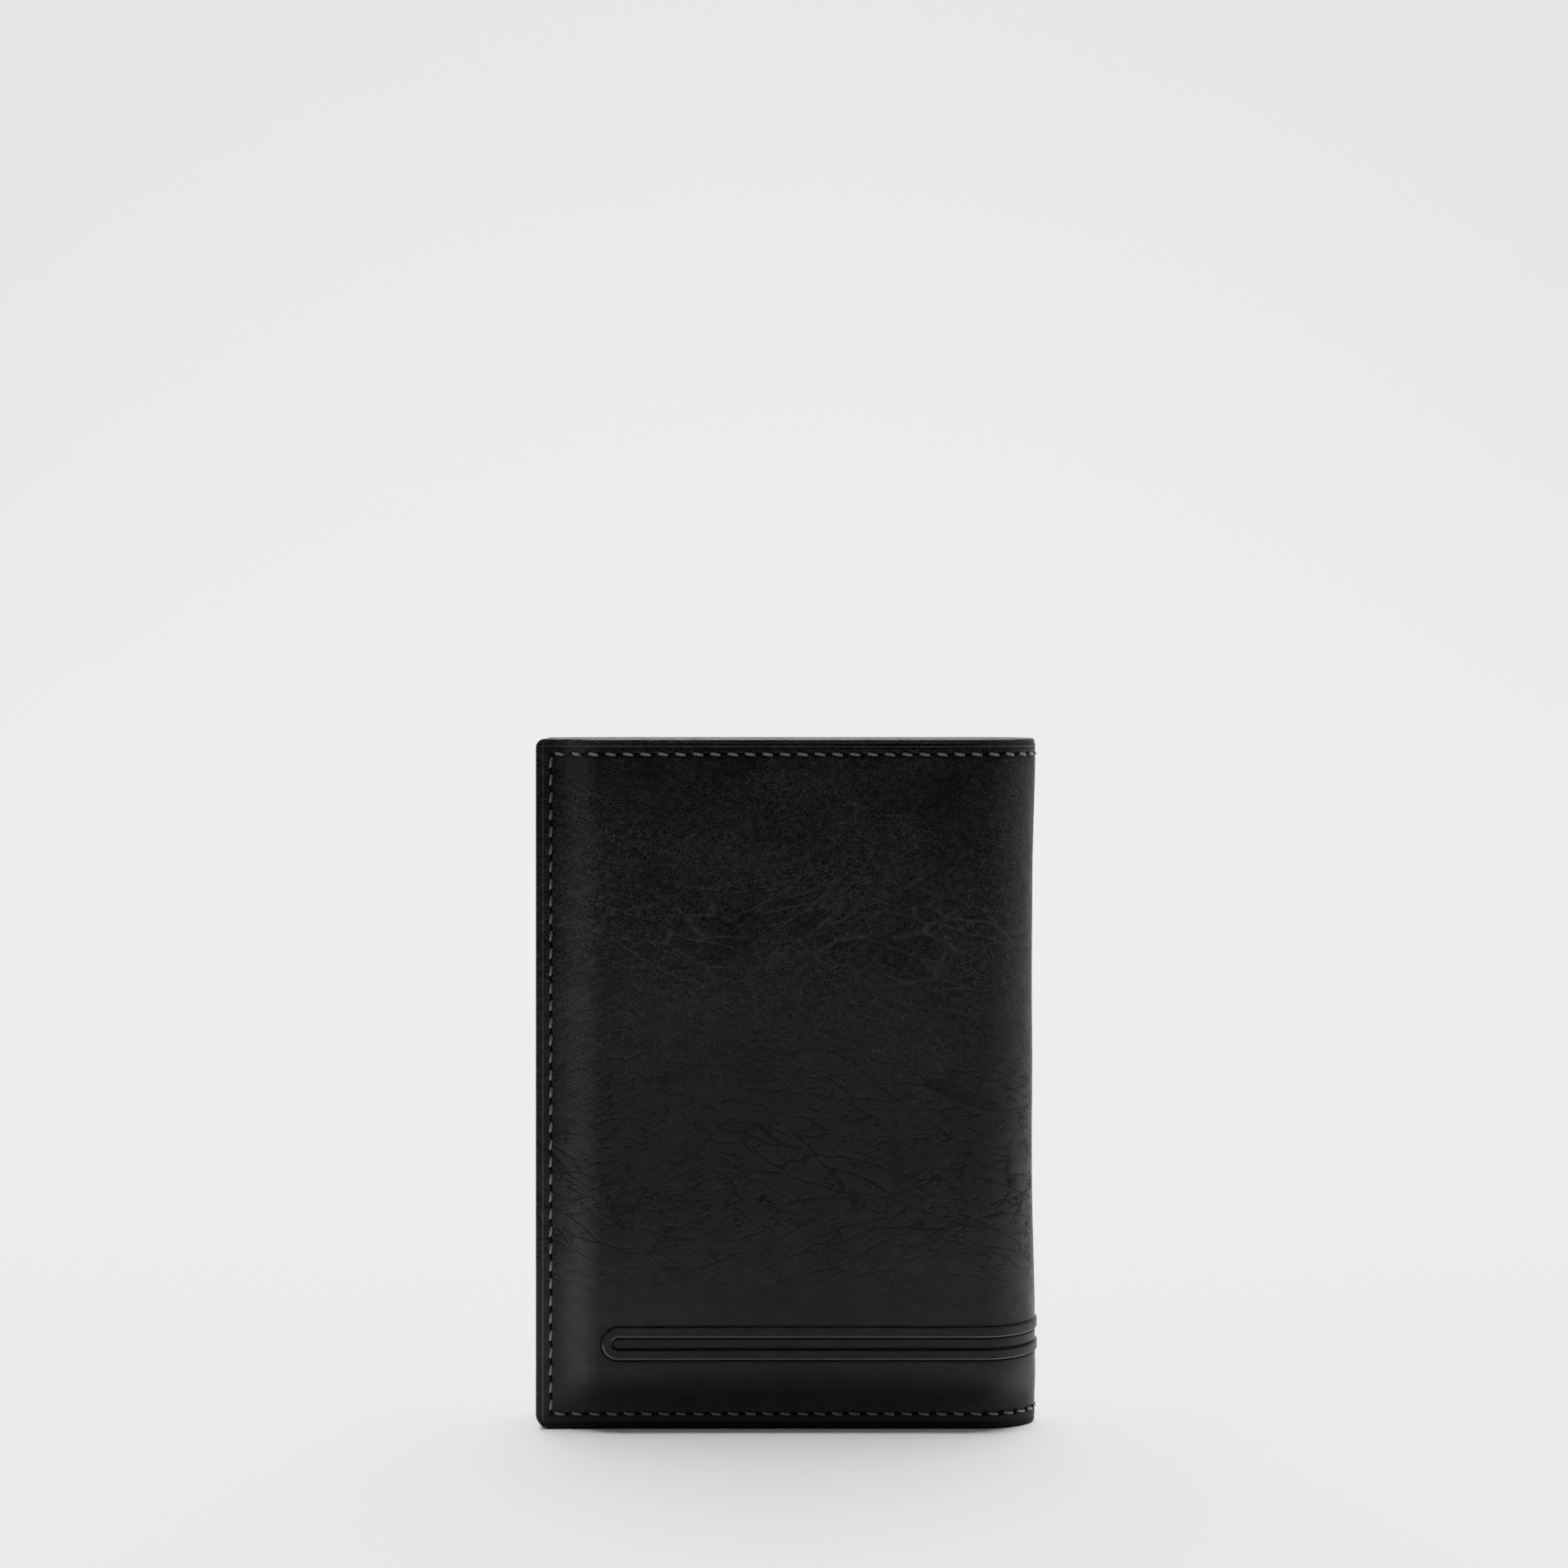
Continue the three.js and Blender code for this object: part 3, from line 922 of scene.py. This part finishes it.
def cover_leather():
    """Black leather: a fine pebble grain, with painted highlight on the creases above, painted shade in
    the short creases below, a painted reflection greying the lower part and a painted highlight on the
    band's lower edges.
    """
    n = Nodes("cover_leather")
    flat = n.surface_place()
    parts = n.add("SeparateXYZ", {"Vector": flat}).outputs
    high = parts["Y"]
    spine = n.between(n.math("ABSOLUTE", parts["X"]), 0.2, 0.05)
    warped = n.warped(n.warped(flat, 9.0, 0.05), 110.0, 0.007)

    pebbles = n.crease_lines(warped, 150.0, 0.13)
    fine = n.crease_lines(warped, 250.0, 0.14)
    broken = n.between(n.noise(flat, 75.0, 2.0), 0.35, 0.62, 0.5, 1.0)
    patches = n.between(n.noise(flat, 2.4, 3.0), 0.42, 0.6)
    other = n.math("SUBTRACT", 1.0, patches)
    rising = n.long_lines(warped, (7.0, 34.0, 1.0), -0.45, 0.07)
    falling = n.long_lines(warped, (7.0, 30.0, 1.0), 0.3, 0.07)
    long_lines = n.math("ADD", n.math("MULTIPLY", rising, patches), n.math("MULTIPLY", falling, other))
    # Grain fades towards the raised band and is gone below it.
    uneven = n.between(n.noise(flat, 6.0, 3.0), 0.3, 0.6, 0.45, 1.0)
    strong = n.math("MULTIPLY", n.between(high, 0.24, 0.7), uneven)
    creased = n.math("MULTIPLY", n.between(high, 0.22, 0.4), n.between(high, 1.2, 0.95, 0.25, 1.0))
    lower = n.between(high, 0.9, 0.65)
    long_lines = n.math("MULTIPLY", n.math("MULTIPLY", long_lines, creased), broken)
    short = n.long_lines(warped, (40.0, 105.0, 1.0), -0.35, 0.12)
    scattered = n.between(n.noise(flat, 26.0, 2.0), 0.45, 0.6)
    short = n.math("MULTIPLY", n.math("MULTIPLY", short, scattered), n.math("MULTIPLY", creased, lower))
    network = n.math("MULTIPLY", n.math("MAXIMUM", pebbles, n.math("MULTIPLY", fine, 0.35)), strong)
    network = n.math("MULTIPLY", network, broken)
    lines = n.math("MAXIMUM", n.math("MAXIMUM", network, long_lines), short)

    height = n.math("MULTIPLY", lines, -1.0)
    rolling = n.noise(flat, 14.0, 3.0)
    normal = n.bump(rolling, 0.2, 0.0010)
    normal = n.bump(height, 0.6, 0.00018, normal)
    pores = n.noise(flat, 420.0, 3.0)
    normal = n.bump(pores, 0.35, 0.00004, normal)
    n.link(normal, "Normal")

    tone = n.between(n.noise(flat, 22.0, 4.0), 0.3, 0.7)
    black = n.mixed(tone, (0.001, 0.001, 0.0011), (0.002, 0.002, 0.0021))
    grey = n.mixed(tone, (0.0075, 0.0075, 0.0078), (0.0105, 0.0105, 0.0108))
    # Painted reflection of light from below: the colour turns greyer under about 95 mm, most from 30 to 55
    # mm high.
    painted_lower_reflection = n.math("MULTIPLY", n.between(high, 0.95, 0.55), n.between(high, 0.08, 0.3, 0.35, 1.0))
    black = n.mixed(painted_lower_reflection, black, grey)
    # Painted highlight: the grain's crease lines are paler in the upper part, where their slopes would
    # catch light.
    pale = n.math("MULTIPLY", lines, n.between(high, 0.5, 0.78, 0.0, 0.9))
    # Painted shade: the grain's creases turn near black in the lower part, where light from below leaves
    # them in shadow.
    deep = n.math("MULTIPLY", network, n.between(high, 0.7, 0.5, 0.0, 0.9))
    long_and_short = n.math("MAXIMUM", long_lines, short)
    painted_long_crease_shade = n.math("MULTIPLY", long_and_short, n.between(high, 0.95, 0.7, 0.0, 0.9))
    deep = n.math("MAXIMUM", deep, painted_long_crease_shade)
    painted_highlight = n.mixed(pale, black, (0.036, 0.036, 0.037))
    painted_crease_shade = n.mixed(deep, painted_highlight, (0.001, 0.001, 0.001))
    # Painted highlight: paler colour on the band's down-facing edges and beside the creases.
    painted_lip_highlight = n.math("MULTIPLY", n.add("Attribute", attribute_name="painted_highlight").outputs["Fac"], 0.8)
    n.link(n.mixed(painted_lip_highlight, painted_crease_shade, (0.1, 0.1, 0.102)), "Base Color")
    smooth = n.between(n.noise(flat, 30.0, 4.0), 0.3, 0.7, 0.38, 0.48)
    rough = n.math("ADD", smooth, n.math("MULTIPLY", lines, 0.3))
    n.link(n.math("ADD", rough, n.math("MULTIPLY", spine, 0.2)), "Roughness")
    n.shader.inputs["Specular IOR Level"].default_value = 0.13
    return n.material


def pocket_leather():
    """Thin smooth black leather, with a pressed line below each plate's top edge."""
    n = Nodes("pocket_leather")
    place_uv = n.surface_place()
    high = n.add("SeparateXYZ", {"Vector": place_uv}).outputs["Y"]
    cells = n.add("TexVoronoi", {"Vector": place_uv, "Scale": 130.0}, feature="DISTANCE_TO_EDGE")
    pebble = n.between(cells.outputs["Distance"], 0.0, 0.25)
    line = n.between(n.math("ABSOLUTE", n.math("ADD", high, 0.018)), 0.0, 0.003)
    normal = n.bump(pebble, 0.3, 0.00009)
    normal = n.bump(line, 0.7, 0.0002, normal)
    normal = n.bump(n.noise(place_uv, 14.0, 3.0), 0.3, 0.0008, normal)
    n.link(normal, "Normal")
    tone = n.between(n.noise(place_uv, 25.0, 4.0), 0.3, 0.7)
    n.link(n.mixed(tone, (0.008, 0.008, 0.0085), (0.015, 0.015, 0.016)), "Base Color")
    n.link(n.between(n.noise(place_uv, 40.0, 3.0), 0.3, 0.7, 0.42, 0.58), "Roughness")
    n.shader.inputs["Specular IOR Level"].default_value = 0.25
    return n.material


def lining_fabric():
    """Fine black woven lining."""
    n = Nodes("lining_fabric")
    place_uv = n.surface_place()
    warp = n.add("TexWave", {"Vector": place_uv, "Scale": 55.0}, bands_direction="X").outputs["Fac"]
    weft = n.add("TexWave", {"Vector": place_uv, "Scale": 55.0}, bands_direction="Y").outputs["Fac"]
    weave = n.math("MULTIPLY", warp, weft)
    n.link(n.bump(weave, 0.6, 0.0001), "Normal")
    n.link(n.mixed(weave, (0.006, 0.006, 0.007), (0.02, 0.02, 0.022)), "Base Color")
    n.link(n.between(n.noise(place_uv, 30.0, 3.0), 0.3, 0.7, 0.7, 0.9), "Roughness")
    n.shader.inputs["Sheen Weight"].default_value = 0.2
    return n.material


def sewing_thread():
    """Waxed dark grey thread with its plies showing."""
    n = Nodes("sewing_thread")
    place_uv = n.surface_place()
    waves = n.add("TexWave", {"Vector": place_uv, "Scale": 240.0}, bands_direction="DIAGONAL")
    plies = waves.outputs["Fac"]
    n.link(n.bump(plies, 0.5, 0.00005), "Normal")
    n.link(n.mixed(plies, (0.035, 0.035, 0.036), (0.09, 0.09, 0.092)), "Base Color")
    n.link(n.between(plies, 0.0, 1.0, 0.5, 0.65), "Roughness")
    return n.material


def needle_dark():
    n = Nodes("needle_dark")
    spots = n.noise(n.add("TexCoord").outputs["Object"], 900.0)
    n.link(n.between(spots, 0.3, 0.7, 0.85, 1.0), "Roughness")
    n.shader.inputs["Base Color"].default_value = (0.0015, 0.0015, 0.0015, 1)
    n.shader.inputs["Specular IOR Level"].default_value = 0.1
    return n.material


def board():
    """Grey-brown fibre board."""
    n = Nodes("stiffener_board")
    fibres = n.noise(n.add("TexCoord").outputs["Object"], 400.0, 5.0)
    n.link(n.mixed(fibres, (0.16, 0.13, 0.1), (0.26, 0.22, 0.17)), "Base Color")
    n.link(n.bump(fibres, 0.4, 0.0001), "Normal")
    n.shader.inputs["Roughness"].default_value = 0.9
    return n.material


def clear_film():
    """Clear flexible film."""
    n = Nodes("clear_window")
    haze = n.noise(n.add("TexCoord").outputs["Object"], 60.0, 3.0)
    n.link(n.bump(haze, 0.2, 0.0002), "Normal")
    n.link(n.between(haze, 0.3, 0.7, 0.08, 0.2), "Roughness")
    n.shader.inputs["Base Color"].default_value = (0.4, 0.42, 0.43, 1)
    n.shader.inputs["Alpha"].default_value = 0.16
    return n.material


def repaint(node, material):
    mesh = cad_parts[node].data
    mesh.materials.clear()
    mesh.materials.append(material)


# ---------------------------------------------------------------------------- studio


def make_stage():
    """A pale floor that sweeps up into a backdrop and turns dark in front of the wallet."""
    half, front, back, radius, tall = 1.2, -2.0, 2.2, 0.8, 3.0
    profile = [(front, 0.0), (back - radius, 0.0)]
    profile += [
        (back - radius + radius * math.sin(a), radius - radius * math.cos(a))
        for a in (math.radians(5 * i) for i in range(1, 18))
    ]
    profile += [(back, radius), (back, tall)]
    vertices = [(x, y, z) for y, z in profile for x in (-half, half)]
    mesh = new_mesh("studio_sweep", vertices, grid_faces(len(profile), 2, False))
    sweep = bpy.data.objects.new("studio_sweep", mesh)
    bpy.context.scene.collection.objects.link(sweep)
    n = Nodes("studio_sweep")
    depth = n.add("SeparateXYZ", {"Vector": n.add("TexCoord").outputs["Object"]}).outputs["Y"]
    pale = n.between(depth, -0.16, -0.1)
    n.link(n.mixed(pale, (0.02, 0.02, 0.02), (0.86, 0.86, 0.86)), "Base Color")
    n.shader.inputs["Roughness"].default_value = 0.9
    n.shader.inputs["Specular IOR Level"].default_value = 0.1
    mesh.materials.append(n.material)


def area_light(name, location, target, size, power):
    data = bpy.data.lights.new(name, "AREA")
    data.energy = power
    data.shape = "RECTANGLE"
    data.size = size
    data.size_y = size
    light = bpy.data.objects.new(name, data)
    light.location = location
    light.rotation_euler = (Vector(target) - Vector(location)).to_track_quat("-Z", "Y").to_euler()
    bpy.context.scene.collection.objects.link(light)


def make_lights():
    area_light("top_light", (0, 0.9, 2.3), (0, 0.5, 0), 2.4, 380)
    area_light("left_light", (-1.5, -0.3, 0.5), (0, 0, 0.06), 0.9, 4)
    area_light("right_light", (1.5, -0.1, 0.5), (0, 0, 0.06), 0.9, 4)
    world = bpy.data.worlds.new("studio_air")
    world.use_nodes = True
    world.node_tree.nodes["Background"].inputs["Color"].default_value = (1, 1, 1, 1)
    world.node_tree.nodes["Background"].inputs["Strength"].default_value = 0.1
    bpy.context.scene.world = world


def make_camera():
    """Level, square on to the front cover, a little above its top edge."""
    data = bpy.data.cameras.new("camera")
    data.sensor_width = 36
    data.lens = 66.2
    data.shift_y = -0.06
    camera = bpy.data.objects.new("camera", data)
    camera.location = (-0.0007, -0.55, 0.1391)
    camera.rotation_euler = (math.pi / 2, 0, 0)
    bpy.context.scene.collection.objects.link(camera)
    bpy.context.scene.camera = camera


make_camera()
leather = cover_leather()
inner_leather = pocket_leather()
fabric = lining_fabric()
thread = sewing_thread()
dark = needle_dark()
make_covers(leather)
make_linings(fabric)
make_dividers(fabric)
make_cover_stitches(thread, dark)
film = clear_film()
make_pockets(inner_leather, film, thread)
make_leaf(inner_leather, film, thread)
card = board()
for side in ("back", "front"):
    repaint(f"{side}_relief_core", card)
    repaint(f"{side}_stiffener_board", card)
make_stage()
make_lights()
